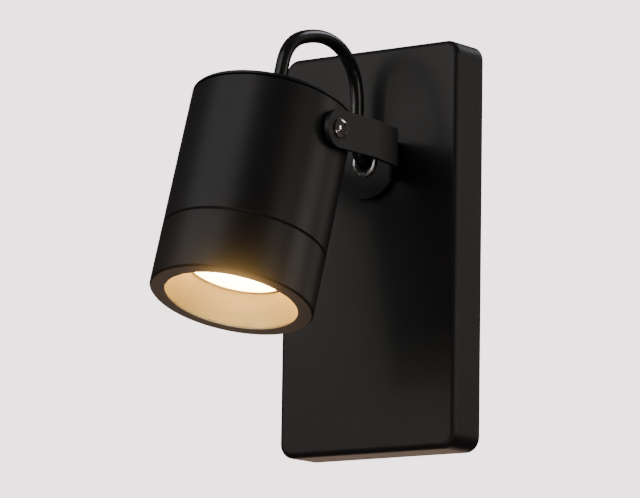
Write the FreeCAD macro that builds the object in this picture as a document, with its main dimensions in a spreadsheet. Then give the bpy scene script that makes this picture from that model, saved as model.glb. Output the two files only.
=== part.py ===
"""Pivoting spotlight wall light.

A flat black box hugs the wall. A forked yoke turns on a hollow screw in its
front, and a round head, with a spot lamp inside, tilts between the yoke's arms.
+Z is up, +X is to the right, and the light stands out towards -Y.
The origin is the middle of the box's back, on the wall. Sizes are in mm.
"""
import FreeCAD, Part
import math
import os
import Sketcher

V = FreeCAD.Vector
X_AXIS, Y_AXIS, Z_AXIS = V(1, 0, 0), V(0, 1, 0), V(0, 0, 1)

SIZES = {
    # the box on the wall
    "box_height": 200.0,
    "box_width": 105.0,
    "box_depth": 21.8,
    "box_wall": 1.5,
    "box_corner_radius": 7.5,
    "box_edge_radius": 3.0,
    "wall_plate_thickness": 1.5,
    "wall_plate_side_gap": 0.5,
    "wall_plate_end_gap": 0.4,
    "wall_plate_flange": 14.0,
    "fixing_spacing": 120.0,
    "fixing_hole_radius": 2.5,
    "supply_hole_radius": 9.0,
    "supply_hole_height": 16.0,
    "box_screw_spacing": 60.0,
    "box_screw_radius": 2.0,
    "box_screw_length": 6.0,
    "box_screw_reach": 8.0,
    "box_screw_point": 0.4,
    "box_screw_key": 1.0,
    "box_screw_key_depth": 2.0,
    "screw_head_edge": 0.5,
    "screw_play": 0.1,
    # the hollow screw that the yoke turns on
    "swivel_height": 43.1,
    "swivel_washer_radius": 16.5,
    "swivel_washer_thickness": 0.4,
    "nipple_radius": 4.95,
    "nipple_bore_radius": 4.0,
    "nipple_tail": 6.3,
    "nipple_play": 0.2,
    "thread_play": 0.05,
    "flat_washer_radius": 10.0,
    "flat_washer_thickness": 1.0,
    "spring_washer_radius": 8.5,
    "spring_washer_thickness": 0.9,
    "lock_nut_across_flats": 14.0,
    "lock_nut_thickness": 3.0,
    "ring_nut_radius": 7.0,
    "ring_nut_length": 1.3,
    "ring_nut_seat": 0.6,
    "ring_nut_mouth_radius": 5.5,
    "bush_bore_radius": 3.5,
    "bush_flange_thickness": 0.6,
    "bush_length": 4.6,
    "bush_mouth_radius": 4.2,
    "bush_mouth_depth": 1.0,
    # the yoke
    "yoke_thickness": 2.3,
    "yoke_disc_radius": 18.2,
    "yoke_disc_bend": 16.0,
    "yoke_knee_reach": 50.5,
    "yoke_knee_half_width": 35.2,
    "yoke_straight": 28.0,
    "arm_width": 18.2,
    "arm_gap": 1.5,
    "bend_radius": 2.0,
    "pivot_reach": 104.5,
    # the pivot screws
    "pivot_screw_radius": 2.45,
    "pivot_hole_radius": 2.7,
    "pivot_screw_head_radius": 4.75,
    "pivot_screw_head_height": 2.75,
    "pivot_screw_rim": 0.8,
    "pivot_screw_shoulder_radius": 3.6,
    "pivot_screw_shoulder_height": 2.2,
    "pivot_screw_crown_radius": 2.6,
    "pivot_screw_past_nut": 1.0,
    "pivot_socket_radius": 2.3,
    "pivot_socket_depth": 1.8,
    "pivot_washer_radius": 6.5,
    "pivot_washer_play": 0.1,
    "pivot_nut_across_flats": 8.0,
    "pivot_nut_thickness": 4.0,
    # the head
    "head_radius": 39.3,
    "head_tilt": 17.2,
    "head_wall": 2.0,
    "head_back": 16.0,
    "head_seam": 55.8,
    "head_front": 85.8,
    "cap_edge": 1.5,
    "cap_groove": 0.5,
    "cap_plate": 2.0,
    "cap_spigot": 4.0,
    "spigot_play": 0.1,
    "spigot_wall": 1.6,
    "edge_break": 0.5,
    "seam_gap": 0.5,
    "bezel_spigot": 8.0,
    "bezel_opening_radius": 31.9,
    "bezel_face": 2.0,
    "bezel_lip": 0.6,
    "bezel_chamfer": 0.9,
    "seam_ring_width": 1.2,
    # what the head holds
    "lamp_recess": 15.5,
    "lamp_radius": 25.0,
    "lamp_length": 46.5,
    "lamp_base_radius": 13.0,
    "lamp_base_length": 11.0,
    "lamp_rim": 1.0,
    "lamp_rim_height": 4.0,
    "lamp_wall": 1.6,
    "lens_thickness": 2.0,
    "lens_recess": 0.4,
    "lamp_pin_spacing": 10.0,
    "lamp_pin_radius": 1.25,
    "lamp_pin_foot_radius": 2.2,
    "lamp_pin_length": 6.5,
    "lamp_pin_foot": 2.0,
    "lamp_pin_play": 0.4,
    "holder_radius": 14.0,
    "holder_height": 16.0,
    "holder_gap": 0.2,
    "holder_screw_spacing": 18.0,
    "holder_screw_radius": 1.45,
    "holder_screw_head_radius": 2.7,
    "holder_screw_head": 1.8,
    "holder_screw_length": 7.0,
    "holder_screw_end_play": 1.0,
    "strap_width": 26.0,
    "strap_thickness": 1.5,
    "strap_ear": 14.5,
    "strap_hole_radius": 5.0,
    "reflector_wall": 1.0,
    "reflector_flange_radius": 35.2,
    "reflector_play": 0.4,
    "lip_play": 0.1,
    "reflector_overlap": 1.4,
    # cable, boot and wires
    "cable_diameter": 6.6,
    "boot_radius": 5.5,
    "boot_tip_radius": 4.1,
    "boot_height": 10.0,
    "boot_collar_radius": 6.8,
    "boot_collar_height": 1.6,
    "boot_tail": 3.0,
    "cable_exit": 8.0,
    "cable_elbow": 6.1,
    "cable_tail": 1.4,
    "core_radius": 0.95,
    "core_circle_radius": 1.2,
    "wire_clearance": 4.0,
    "wire_drop": 22.0,
    "wire_turn": 18.0,
    "wire_lead": 7.0,
    "wire_depth": 4.0,
    "live_wire_aside": 4.0,
    "live_wire_back": 3.0,
    "holder_wire_spread": 3.0,
    "holder_wire_straight": 5.0,
    "holder_wire_middle": 10.0,
    "holder_wire_sway": 2.5,
    "holder_wire_end": 3.0,
    # terminals
    "terminal_width": 30.0,
    "terminal_height": 18.0,
    "terminal_depth": 13.0,
    "terminal_centre_height": -46.0,
    "terminal_pitch": 9.5,
    "terminal_bore_radius": 1.6,
    "terminal_screw_radius": 1.5,
    "terminal_screw_length": 5.0,
    "terminal_screw_inset": 5.0,
    "terminal_screw_recess": 0.5,
    "terminal_fixing_radius": 1.3,
    "terminal_fixing_head_radius": 2.2,
    "terminal_fixing_head": 1.2,
    "earth_screw_radius": 2.0,
    "earth_screw_x": 30.0,
    "earth_screw_head_radius": 3.6,
    "earth_screw_head": 2.2,
    "earth_tag_radius": 4.2,
    "earth_tag_thickness": 0.8,
}

# Middle line of the cable's free loop, as (Y, Z) on the plane X = 0, from the boot's tip
# to the mouth of the hollow screw. The first two points are worked out from the head.
CABLE_LOOP = [
    (-89.9, 87.2),
    (-82.0, 94.4),
    (-70.8, 98.5),
    (-58.4, 99.8),
    (-47.2, 97.2),
    (-38.6, 91.2),
    (-33.8, 83.6),
    (-31.9, 74.8),
    (-31.8, 64.5),
    (-31.4, 55.8),
]
# a fillet can take very nearly, but not quite, half of a strip's width
FULL_ROUND = 0.499

doc = FreeCAD.newDocument("wall_spotlight")


class Cell:
    """A size with its number and the spreadsheet expression that gives it."""

    def __init__(self, value, text):
        self.value = value
        self.text = text

    def join(self, sign, other, value):
        text = other.text if isinstance(other, Cell) else repr(other)
        return Cell(value, f"({self.text} {sign} {text})")

    def __add__(self, other):
        return self.join("+", other, self.value + number(other))

    def __sub__(self, other):
        return self.join("-", other, self.value - number(other))

    def __mul__(self, other):
        return self.join("*", other, self.value * number(other))

    def __truediv__(self, other):
        return self.join("/", other, self.value / number(other))

    def __neg__(self):
        return Cell(-self.value, f"(0 - {self.text})")


def number(size):
    return size.value if isinstance(size, Cell) else size


class Sizes:
    """The sizes, each kept in a cell of the document's spreadsheet under its own name."""

    def __init__(self, table):
        sheet = doc.addObject("Spreadsheet::Sheet", "sizes")
        for row, (name, value) in enumerate(table.items(), start=1):
            sheet.set(f"A{row}", name)
            sheet.set(f"B{row}", str(value))
            sheet.setAlias(f"B{row}", name)
        doc.recompute()
        for name in table:
            setattr(self, name, Cell(float(sheet.get(name)), f"sizes.{name}"))


s = Sizes(SIZES)
pieces = []


# --- helpers: sketches, bodies and places ---------------------------------------------

def bind(item, **cells):
    """Tie properties of a document object to sizes."""
    for name, size in cells.items():
        if isinstance(size, Cell):
            item.setExpression(name, size.text)
        else:
            setattr(item, name, size)


def piece(item, name, placement=None):
    """Give a sub-part its name and its place."""
    item.Label = name
    if placement is not None:
        item.Placement = placement
    pieces.append(item)
    return item


def new_body(name):
    return doc.addObject("PartDesign::Body", name + "_body")


def new_sketch(body, role, offset=None):
    """Make a sketch on one of the body's own origin planes, raised along its normal."""
    plane = [item for item in body.Origin.OriginFeatures if item.Role == role][0]
    sketch = body.newObject("Sketcher::SketchObject", body.Name + "_sketch")
    sketch.AttachmentSupport = [(plane, "")]
    sketch.MapMode = "FlatFace"
    if offset is not None:
        sketch.AttachmentOffset = FreeCAD.Placement(V(0, 0, number(offset)), FreeCAD.Rotation())
        if isinstance(offset, Cell):
            sketch.setExpression(".AttachmentOffset.Base.z", offset.text)
    return sketch


def pin_point(sketch, line, end, point):
    """Hold one end of a sketch line at a place given by two sizes."""
    for kind, size in zip(("DistanceX", "DistanceY"), point):
        index = sketch.addConstraint(Sketcher.Constraint(kind, -1, 1, line, end, number(size)))
        if isinstance(size, Cell):
            sketch.setExpression(f"Constraints[{index}]", size.text)


def add_outline(sketch, points):
    """Draw a closed outline of straight lines through points given by sizes."""
    spots = [V(number(x), number(y), 0) for x, y in points]
    first = sketch.GeometryCount
    count = len(points)
    for i in range(count):
        sketch.addGeometry(Part.LineSegment(spots[i], spots[(i + 1) % count]), False)
    for i in range(count):
        after = first + (i + 1) % count
        sketch.addConstraint(Sketcher.Constraint("Coincident", first + i, 2, after, 1))
    for i, point in enumerate(points):
        pin_point(sketch, first + i, 1, point)
    return first


def add_circle(sketch, x, y, radius):
    """Draw a circle whose middle and radius are sizes."""
    middle = V(number(x), number(y), 0)
    index = sketch.addGeometry(Part.Circle(middle, Z_AXIS, number(radius)), False)
    pin_point(sketch, index, 3, (x, y))
    row = sketch.addConstraint(Sketcher.Constraint("Radius", index, number(radius)))
    sketch.setExpression(f"Constraints[{row}]", radius.text)


def rectangle(width, height, x=0.0, y=0.0):
    """Corner points of a rectangle about a middle."""
    return [(width * -0.5 + x, height * -0.5 + y), (width * 0.5 + x, height * -0.5 + y),
            (width * 0.5 + x, height * 0.5 + y), (width * -0.5 + x, height * 0.5 + y)]


def pad(body, sketch, length, **settings):
    feature = body.newObject("PartDesign::Pad", body.Name + "_pad")
    feature.Profile = sketch
    bind(feature, Length=length, **settings)
    doc.recompute()
    return feature


def pocket(body, sketch, length=None, **settings):
    """Cut a sketch out of the body, right through where no length is given."""
    before = body.Shape.Volume
    feature = body.newObject("PartDesign::Pocket", body.Name + "_pocket")
    feature.Profile = sketch
    if length is None:
        feature.Type = "ThroughAll"
    else:
        bind(feature, Length=length)
    bind(feature, **settings)
    doc.recompute()
    if body.Shape.Volume > before - 1e-6:
        raise RuntimeError(f"{body.Name}: a pocket cut nothing")
    return feature


def dress(body, kind, size, chosen):
    """Fillet or chamfer the edges that the test picks on the body's last feature."""
    base = body.Tip
    names = [f"Edge{i}" for i, edge in enumerate(base.Shape.Edges, start=1) if chosen(edge)]
    if not names:
        raise RuntimeError(f"{body.Name}: no edge to dress")
    feature = body.newObject("PartDesign::" + kind, body.Name + "_" + kind.lower())
    feature.Base = (base, names)
    if kind == "Fillet":
        bind(feature, Radius=size)
    else:
        bind(feature, Size=size)
    doc.recompute()
    return feature


def straight_along(edge, axis):
    """True for a straight edge that runs along an axis."""
    if not isinstance(edge.Curve, Part.Line):
        return False
    return abs(abs(edge.tangentAt(edge.FirstParameter).dot(axis)) - 1) < 1e-6


def turned(name, points, placement=None):
    """A piece turned about its own Z axis from an outline of (radius, z)."""
    body = new_body(name)
    sketch = new_sketch(body, "XZ_Plane")
    add_outline(sketch, points)
    feature = body.newObject("PartDesign::Revolution", name + "_turning")
    feature.Profile = sketch
    feature.ReferenceAxis = (sketch, ["V_Axis"])
    feature.Angle = 360
    doc.recompute()
    return piece(body, name, placement)


def tube_profile(inner, outer, low, high):
    return [(inner, low), (outer, low), (outer, high), (inner, high)]


def hexagon_prism(name, across_flats, bore, low, high, placement):
    """A nut: a six-sided pad with a round bore."""
    body = new_body(name)
    sketch = new_sketch(body, "XY_Plane", low)
    corner = across_flats / math.sqrt(3)
    turns = [(math.cos(math.radians(60 * i)), math.sin(math.radians(60 * i))) for i in range(6)]
    add_outline(sketch, [(corner * round(x, 9), corner * round(y, 9)) for x, y in turns])
    add_circle(sketch, 0.0, 0.0, bore)
    pad(body, sketch, high - low)
    return piece(body, name, placement)


def outward():
    """Place of the swivel's parts: their Z runs out of the wall along -Y."""
    return FreeCAD.Placement(V(0, 0, s.swivel_height.value), FreeCAD.Rotation(X_AXIS, 90))


def on_head():
    """Place of the head's parts: their origin is the pivot and their Z runs to the rear cap."""
    pivot = V(0, -s.pivot_reach.value, s.swivel_height.value)
    return FreeCAD.Placement(pivot, FreeCAD.Rotation(X_AXIS, -s.head_tilt.value))


def group(name, shapes, placement=None):
    """One node that holds several like solids."""
    item = doc.addObject("Part::Feature", name)
    item.Shape = Part.Compound(shapes)
    return piece(item, name, placement)


def lathe(points):
    """A solid of revolution about Z from numbers, for small repeated hardware."""
    spots = [V(number(r), 0, number(z)) for r, z in points]
    return Part.Face(Part.makePolygon(spots + spots[:1])).revolve(V(0, 0, 0), Z_AXIS, 360)


def moved(shape, x=0.0, y=0.0, z=0.0, axis=Z_AXIS, angle=0.0):
    """A copy of a shape, turned about the origin and then moved."""
    copy = shape.copy()
    copy.Placement = FreeCAD.Placement(V(number(x), number(y), number(z)), FreeCAD.Rotation(axis, angle))
    return copy


def route_wire(points):
    """Straight runs joined by tangent arcs, with each arc as large as its runs allow."""
    edges = []
    radii = []
    start = points[0]
    for before, corner, after in zip(points, points[1:], points[2:]):
        to_start = (before - corner).normalize()
        to_end = (after - corner).normalize()
        shorter = min((before - corner).Length, (after - corner).Length)
        half_turn = (math.pi - to_start.getAngle(to_end)) / 2
        cut = 0.45 * shorter
        radius = cut / math.tan(half_turn)
        bisector = (to_start + to_end).normalize()
        middle = corner + bisector * (radius / math.cos(half_turn) - radius)
        first, last = corner + to_start * cut, corner + to_end * cut
        edges.append(Part.LineSegment(start, first).toShape())
        edges.append(Part.Arc(first, middle, last).toShape())
        radii.append(radius)
        start = last
    edges.append(Part.LineSegment(start, points[-1]).toShape())
    return Part.Wire(edges), radii


def tube_along(points, radius):
    """A round solid along a route, with its length and its bend radii."""
    wire, radii = route_wire(points)
    ring = Part.Wire(Part.Circle(points[0], points[1] - points[0], radius).toShape())
    solid = wire.makePipeShell([ring], True, True)
    expected = math.pi * radius ** 2 * wire.Length
    if abs(solid.Volume / expected - 1) > 0.01:
        raise RuntimeError("a tube's volume does not match its length")
    return solid, wire.Length, radii


# --- distances worked out from the sizes ------------------------------------------------

# along -Y from the wall
washer_out = s.box_depth + s.swivel_washer_thickness
disc_out = washer_out + s.yoke_thickness
nipple_end = disc_out + s.ring_nut_seat
ring_nut_end = disc_out + s.ring_nut_length
box_inside = s.box_depth - s.box_wall
nipple_start = box_inside - s.nipple_tail
# along X from the middle
arm_inside = s.head_radius + s.arm_gap
arm_outside = arm_inside + s.yoke_thickness
# along the head, from the pivot towards the rear cap
head_end = s.head_back - s.cap_edge - s.cap_groove
lamp_face = s.lamp_recess - s.head_front
lamp_back = lamp_face + s.lamp_length
holder_front = lamp_back + s.holder_gap
holder_back = holder_front + s.holder_height
web_back = holder_back + s.strap_thickness
bezel_end = -s.head_seam - s.seam_gap
bezel_face_back = s.bezel_face - s.head_front


# --- the box on the wall ----------------------------------------------------------------

def box_cover():
    """Deep-drawn box, open at the back, with rounded corners and front edge."""
    body = new_body("box_cover")
    outer = new_sketch(body, "XZ_Plane")
    add_outline(outer, rectangle(s.box_width, s.box_height))
    pad(body, outer, s.box_depth)
    inner = new_sketch(body, "XZ_Plane")
    add_outline(inner, rectangle(s.box_width - s.box_wall * 2, s.box_height - s.box_wall * 2))
    pocket(body, inner, box_inside, Reversed=True)
    inside = s.box_width.value / 2 - s.box_wall.value

    def corner_at(x):
        return lambda edge: straight_along(edge, Y_AXIS) and abs(abs(edge.CenterOfMass.x) - x) < 0.01

    dress(body, "Fillet", s.box_corner_radius - s.box_wall, corner_at(inside))
    dress(body, "Fillet", s.box_corner_radius, corner_at(s.box_width.value / 2))
    front = -s.box_depth.value
    dress(body, "Fillet", s.box_edge_radius, lambda edge: edge.BoundBox.YMax < front + 0.01)
    swivel_hole = new_sketch(body, "XZ_Plane")
    add_circle(swivel_hole, 0.0, s.swivel_height, s.nipple_radius + s.nipple_play)
    pocket(body, swivel_hole, Reversed=True)
    screw_holes = new_sketch(body, "XY_Plane")
    for side in (-0.5, 0.5):
        hole = s.box_screw_radius + s.screw_play
        add_circle(screw_holes, s.box_screw_spacing * side, -s.box_screw_reach, hole)
    pocket(body, screw_holes, s.box_height, Reversed=True)
    return piece(body, "box_cover")


def part_box(name, width, depth, height, x, y, z):
    """A block whose low corner is at x, y, z."""
    block = doc.addObject("Part::Box", name)
    bind(block, Length=width, Width=depth, Height=height)
    for path, size in ((".Placement.Base.x", x), (".Placement.Base.y", y), (".Placement.Base.z", z)):
        block.setExpression(path, size.text)
    return block


def part_hole(name, radius, length, axis, angle, x, y, z):
    """A round cutter that starts at x, y, z."""
    cutter = doc.addObject("Part::Cylinder", name)
    cutter.Placement = FreeCAD.Placement(V(0, 0, 0), FreeCAD.Rotation(axis, angle))
    bind(cutter, Radius=radius, Height=length)
    for path, size in ((".Placement.Base.x", x), (".Placement.Base.y", y), (".Placement.Base.z", z)):
        if isinstance(size, Cell):
            cutter.setExpression(path, size.text)
    return cutter


def fused(name, blocks):
    item = doc.addObject("Part::MultiFuse", name)
    item.Shapes = blocks
    item.Refine = True
    return item


def cut(name, base, tools):
    item = doc.addObject("Part::Cut", name)
    item.Base = base
    item.Tool = tools[0] if len(tools) == 1 else fused(name + "_tools", tools)
    doc.recompute()
    return item


def wall_plate():
    """Steel plate screwed to the wall, with a folded flange at the top and the bottom."""
    width = s.box_width - (s.box_corner_radius + s.wall_plate_side_gap) * 2
    height = s.box_height - (s.box_wall + s.wall_plate_end_gap) * 2
    thick = s.wall_plate_thickness
    sheet = part_box("plate_sheet", width, thick, height, width * -0.5, -thick, height * -0.5)
    top = part_box("plate_top", width, s.wall_plate_flange, thick,
                   width * -0.5, -s.wall_plate_flange, height * 0.5 - thick)
    low = part_box("plate_low", width, s.wall_plate_flange, thick,
                   width * -0.5, -s.wall_plate_flange, height * -0.5)
    through = thick * 3
    start = -thick * 2
    holes = []
    for side in (-0.5, 0.5):
        holes.append(part_hole("fixing_hole", s.fixing_hole_radius, through, X_AXIS, -90,
                               0.0, start, s.fixing_spacing * side))
        holes.append(part_hole("flange_hole", s.box_screw_radius + s.thread_play, through, Z_AXIS, 0,
                               s.box_screw_spacing * side, -s.box_screw_reach, height * 0.5 - thick * 2))
        holes.append(part_hole("terminal_hole", s.terminal_fixing_radius + s.thread_play, through,
                               X_AXIS, -90, s.terminal_pitch * side, start, s.terminal_centre_height))
    holes.append(part_hole("supply_hole", s.supply_hole_radius, through, X_AXIS, -90,
                           0.0, start, s.supply_hole_height))
    holes.append(part_hole("earth_hole", s.earth_screw_radius + s.thread_play, through, X_AXIS, -90,
                           s.earth_screw_x, start, s.terminal_centre_height))
    return piece(cut("wall_plate_cut", fused("plate_fold", [sheet, top, low]), holes), "wall_plate")


def box_screws():
    """Two headless screws, flush in the top of the box, that hold it on the wall plate."""
    radius, length = s.box_screw_radius, s.box_screw_length
    point, key, deep = s.box_screw_point, s.box_screw_key, s.box_screw_key_depth
    screw = lathe([(0, -length), (radius - point, -length), (radius, point - length),
                   (radius, 0), (key, 0), (key, -deep), (0, -deep)])
    top = s.box_height.value / 2
    shapes = [moved(screw, s.box_screw_spacing * side, -s.box_screw_reach, top) for side in (-0.5, 0.5)]
    return group("box_screws", shapes)


# --- the swivel ---------------------------------------------------------------------------

def swivel():
    """Hollow screw through box and yoke, with its washers, nuts and rubber bush."""
    place = outward()
    hole = s.nipple_radius + s.nipple_play
    thread = s.nipple_radius + s.thread_play
    turned("swivel_washer", tube_profile(hole, s.swivel_washer_radius, s.box_depth, washer_out), place)
    turned("hollow_screw", tube_profile(s.nipple_bore_radius, s.nipple_radius, nipple_start, nipple_end),
           place)
    flat_back = box_inside - s.flat_washer_thickness
    spring_back = flat_back - s.spring_washer_thickness
    turned("flat_washer", tube_profile(hole, s.flat_washer_radius, flat_back, box_inside), place)
    turned("spring_washer", tube_profile(hole, s.spring_washer_radius, spring_back, flat_back), place)
    hexagon_prism("lock_nut", s.lock_nut_across_flats, thread, spring_back - s.lock_nut_thickness,
                  spring_back, place)
    mouth = s.ring_nut_mouth_radius
    rounding = s.edge_break
    turned("ring_nut", [
        (thread, disc_out), (s.ring_nut_radius, disc_out),
        (s.ring_nut_radius, ring_nut_end - rounding), (s.ring_nut_radius - rounding, ring_nut_end),
        (mouth, ring_nut_end), (mouth, nipple_end), (thread, nipple_end)], place)
    flange_end = nipple_end + s.bush_flange_thickness
    sleeve = s.nipple_bore_radius - s.thread_play
    turned("cable_bush", [
        (s.bush_bore_radius, flange_end - s.bush_length), (sleeve, flange_end - s.bush_length),
        (sleeve, nipple_end), (mouth - s.thread_play, nipple_end),
        (mouth - s.thread_play, flange_end), (s.bush_mouth_radius, flange_end),
        (s.bush_bore_radius, flange_end - s.bush_mouth_depth)], place)


# --- the yoke -----------------------------------------------------------------------------

def yoke_inner_path():
    """Corners of the yoke's inner face on the right side, from the middle to the arm's end."""
    end = s.pivot_reach + s.arm_width * 0.5
    return [
        (0.0, -disc_out),
        (s.yoke_disc_bend, -disc_out),
        (s.yoke_knee_half_width, -s.yoke_knee_reach),
        (arm_inside, s.yoke_straight - s.pivot_reach),
        (arm_inside, -end),
    ]


def offset_corners(points, distance):
    """Corners of a line drawn at a distance to the left of an open line."""
    spots = [V(number(x), number(y), 0) for x, y in points]
    ways = [(b - a).normalize() for a, b in zip(spots, spots[1:])]
    sides = [V(-way.y, way.x, 0) for way in ways]
    sides = [sides[0]] + sides + [sides[-1]]
    corners = []
    for spot, first, second in zip(spots, sides, sides[1:]):
        corners.append(spot + (first + second) * (distance / (1 + first.dot(second))))
    return spots, corners


def yoke_strip(body):
    """Half of the bent strip, seen from above, with its outer face parallel to the inner one."""
    path = yoke_inner_path()
    thick = s.yoke_thickness
    spots, corners = offset_corners(path, thick.value)
    sketch = new_sketch(body, "XY_Plane")
    count = len(path)
    loop = spots + corners[::-1]
    for a, b in zip(loop, loop[1:] + loop[:1]):
        sketch.addGeometry(Part.LineSegment(a, b), False)
    total = len(loop)
    for i in range(total):
        sketch.addConstraint(Sketcher.Constraint("Coincident", i, 2, (i + 1) % total, 1))
    for i, point in enumerate(path):
        pin_point(sketch, i, 1, point)
    for i in range(count - 1):
        mate = total - 2 - i
        sketch.addConstraint(Sketcher.Constraint("Parallel", i, mate))
        row = sketch.addConstraint(Sketcher.Constraint("Distance", mate, 1, i, thick.value))
        sketch.setExpression(f"Constraints[{row}]", thick.text)
    sketch.addConstraint(Sketcher.Constraint("Horizontal", count - 1))
    sketch.addConstraint(Sketcher.Constraint("Vertical", total - 1))
    pad(body, sketch, s.arm_width, Midplane=True)
    return spots, corners


def yoke():
    """One bent steel strip with a round foot and two arms that the head hangs between."""
    body = new_body("yoke")
    spots, corners = yoke_strip(body)
    mirror = body.newObject("PartDesign::Mirrored", "yoke_mirror")
    mirror.Originals = [body.Tip]
    plane = [item for item in body.Origin.OriginFeatures if item.Role == "YZ_Plane"][0]
    mirror.MirrorPlane = (plane, [""])
    body.Tip = mirror
    doc.recompute()

    def bend_edge(places):
        def chosen(edge):
            middle = edge.CenterOfMass
            near = [abs(abs(middle.x) - p.x) + abs(middle.y - p.y) < 0.05 for p in places]
            return straight_along(edge, Z_AXIS) and any(near)
        return chosen

    outer_radius = s.bend_radius + s.yoke_thickness
    # the knee and the foot bend opposite ways, so the tight side changes face
    dress(body, "Fillet", outer_radius, bend_edge([corners[2], spots[1]]))
    dress(body, "Fillet", s.bend_radius, bend_edge([spots[2], corners[1]]))
    end_y = -number(s.pivot_reach + s.arm_width * 0.5)
    dress(body, "Fillet", s.arm_width * FULL_ROUND,
          lambda edge: straight_along(edge, X_AXIS) and edge.BoundBox.YMax < end_y + 0.01)
    foot = new_sketch(body, "XZ_Plane", washer_out)
    add_circle(foot, 0.0, 0.0, s.yoke_disc_radius)
    pad(body, foot, s.yoke_thickness)
    foot_hole = new_sketch(body, "XZ_Plane")
    add_circle(foot_hole, 0.0, 0.0, s.nipple_radius + s.nipple_play)
    pocket(body, foot_hole, Reversed=True)
    pivot_holes = new_sketch(body, "YZ_Plane")
    add_circle(pivot_holes, -s.pivot_reach, 0.0, s.pivot_hole_radius)
    pocket(body, pivot_holes, Midplane=True)
    return piece(body, "yoke", FreeCAD.Placement(V(0, 0, s.swivel_height.value), FreeCAD.Rotation()))


# --- the pivot ----------------------------------------------------------------------------

def pivot_sides(shape):
    """The shape at both pivots, with its Z pointing out of the head."""
    y, z = -s.pivot_reach, s.swivel_height
    return [moved(shape, 0.0, y, z, Y_AXIS, angle) for angle in (90, -90)]


def pivot_screws():
    """Two button-head screws with a six-sided socket, which turn with the head."""
    seat = arm_outside.value + s.pivot_washer_play.value
    inside = ear_outside() - s.strap_thickness - s.pivot_nut_thickness
    tip = inside.value - s.pivot_screw_past_nut.value
    radius = s.pivot_screw_head_radius.value
    high = s.pivot_screw_head_height.value
    rim = V(radius, 0, seat + s.pivot_screw_rim.value)
    shoulder = V(s.pivot_screw_shoulder_radius.value, 0, seat + s.pivot_screw_shoulder_height.value)
    crown = V(s.pivot_screw_crown_radius.value, 0, seat + high)
    arc = Part.Arc(rim, shoulder, crown)
    spots = [crown, V(0, 0, seat + high), V(0, 0, tip),
             V(s.pivot_screw_radius.value, 0, tip), V(s.pivot_screw_radius.value, 0, seat),
             V(radius, 0, seat), rim]
    edges = [Part.LineSegment(a, b).toShape() for a, b in zip(spots, spots[1:])]
    blank = Part.Face(Part.Wire([arc.toShape()] + edges)).revolve(V(0, 0, 0), Z_AXIS, 360)
    deep = s.pivot_socket_depth.value
    corners = [V(math.cos(math.radians(a)), math.sin(math.radians(a)), 0) * s.pivot_socket_radius.value
               + V(0, 0, seat + high - deep) for a in range(0, 361, 60)]
    socket = Part.Face(Part.makePolygon(corners)).extrude(V(0, 0, deep * 2))
    return group("pivot_screws", pivot_sides(blank.cut(socket)))


def pivot_hardware():
    """Washers between head and arms, and the nuts inside the head."""
    low = s.head_radius + s.pivot_washer_play
    high = arm_inside - s.pivot_washer_play
    washer = lathe(tube_profile(s.pivot_hole_radius, s.pivot_washer_radius, low, high))
    group("pivot_washers", pivot_sides(washer))
    ear = ear_outside().value - s.strap_thickness.value
    corner = s.pivot_nut_across_flats.value / math.sqrt(3)
    bottom = ear - s.pivot_nut_thickness.value
    spots = [V(corner * math.cos(math.radians(a)), corner * math.sin(math.radians(a)), bottom)
             for a in range(0, 361, 60)]
    nut = Part.Face(Part.makePolygon(spots)).extrude(V(0, 0, s.pivot_nut_thickness.value))
    bore = Part.makeCylinder(s.pivot_screw_radius.value + s.thread_play.value,
                             s.pivot_nut_thickness.value * 3, V(0, 0, bottom - s.pivot_nut_thickness.value))
    group("pivot_nuts", pivot_sides(nut.cut(bore)))


# --- the head -----------------------------------------------------------------------------

def head_housing():
    """Plain tube that carries the pivots."""
    edge = s.edge_break
    inner = s.head_radius - s.head_wall
    body = turned("head_housing", [
        (inner, -s.head_seam), (s.head_radius - edge, -s.head_seam), (s.head_radius, edge - s.head_seam),
        (s.head_radius, head_end - edge), (s.head_radius - edge, head_end), (inner, head_end)], on_head())
    holes = new_sketch(body, "YZ_Plane")
    add_circle(holes, 0.0, 0.0, s.pivot_hole_radius)
    pocket(body, holes, Midplane=True)
    return body


def rear_cap():
    """Round lid with a thin edge, a groove under it and a spigot in the housing."""
    spigot = s.head_radius - s.head_wall - s.spigot_play
    under = s.head_back - s.cap_edge
    hole = s.boot_radius + s.spigot_play
    plate_back = s.head_back - s.cap_plate
    tip = head_end - s.cap_spigot
    return turned("rear_cap", [
        (hole, s.head_back), (s.head_radius - s.edge_break, s.head_back),
        (s.head_radius, s.head_back - s.edge_break), (s.head_radius, under), (spigot, under),
        (spigot, tip), (spigot - s.spigot_wall, tip), (spigot - s.spigot_wall, plate_back),
        (hole, plate_back)], on_head())


def front_bezel():
    """Screwed-on front of the head: it comes off to change the lamp."""
    spigot = s.head_radius - s.head_wall - s.spigot_play
    inside = spigot - s.spigot_wall
    front = -s.head_front
    return turned("front_bezel", [
        (s.bezel_opening_radius, front), (s.head_radius - s.bezel_chamfer, front),
        (s.head_radius, front + s.bezel_chamfer), (s.head_radius, bezel_end - s.edge_break),
        (s.head_radius - s.edge_break, bezel_end), (spigot, bezel_end),
        (spigot, bezel_end + s.bezel_spigot), (inside, bezel_end + s.bezel_spigot),
        (inside, bezel_face_back), (s.bezel_opening_radius + s.bezel_face - s.bezel_lip, bezel_face_back),
        (s.bezel_opening_radius, front + s.bezel_lip)], on_head())


def seam_ring():
    """Flat black ring in the seam between housing and bezel."""
    inner = s.head_radius - s.head_wall
    return turned("seam_ring", tube_profile(inner, inner + s.seam_ring_width, bezel_end, -s.head_seam),
                  on_head())


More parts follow.
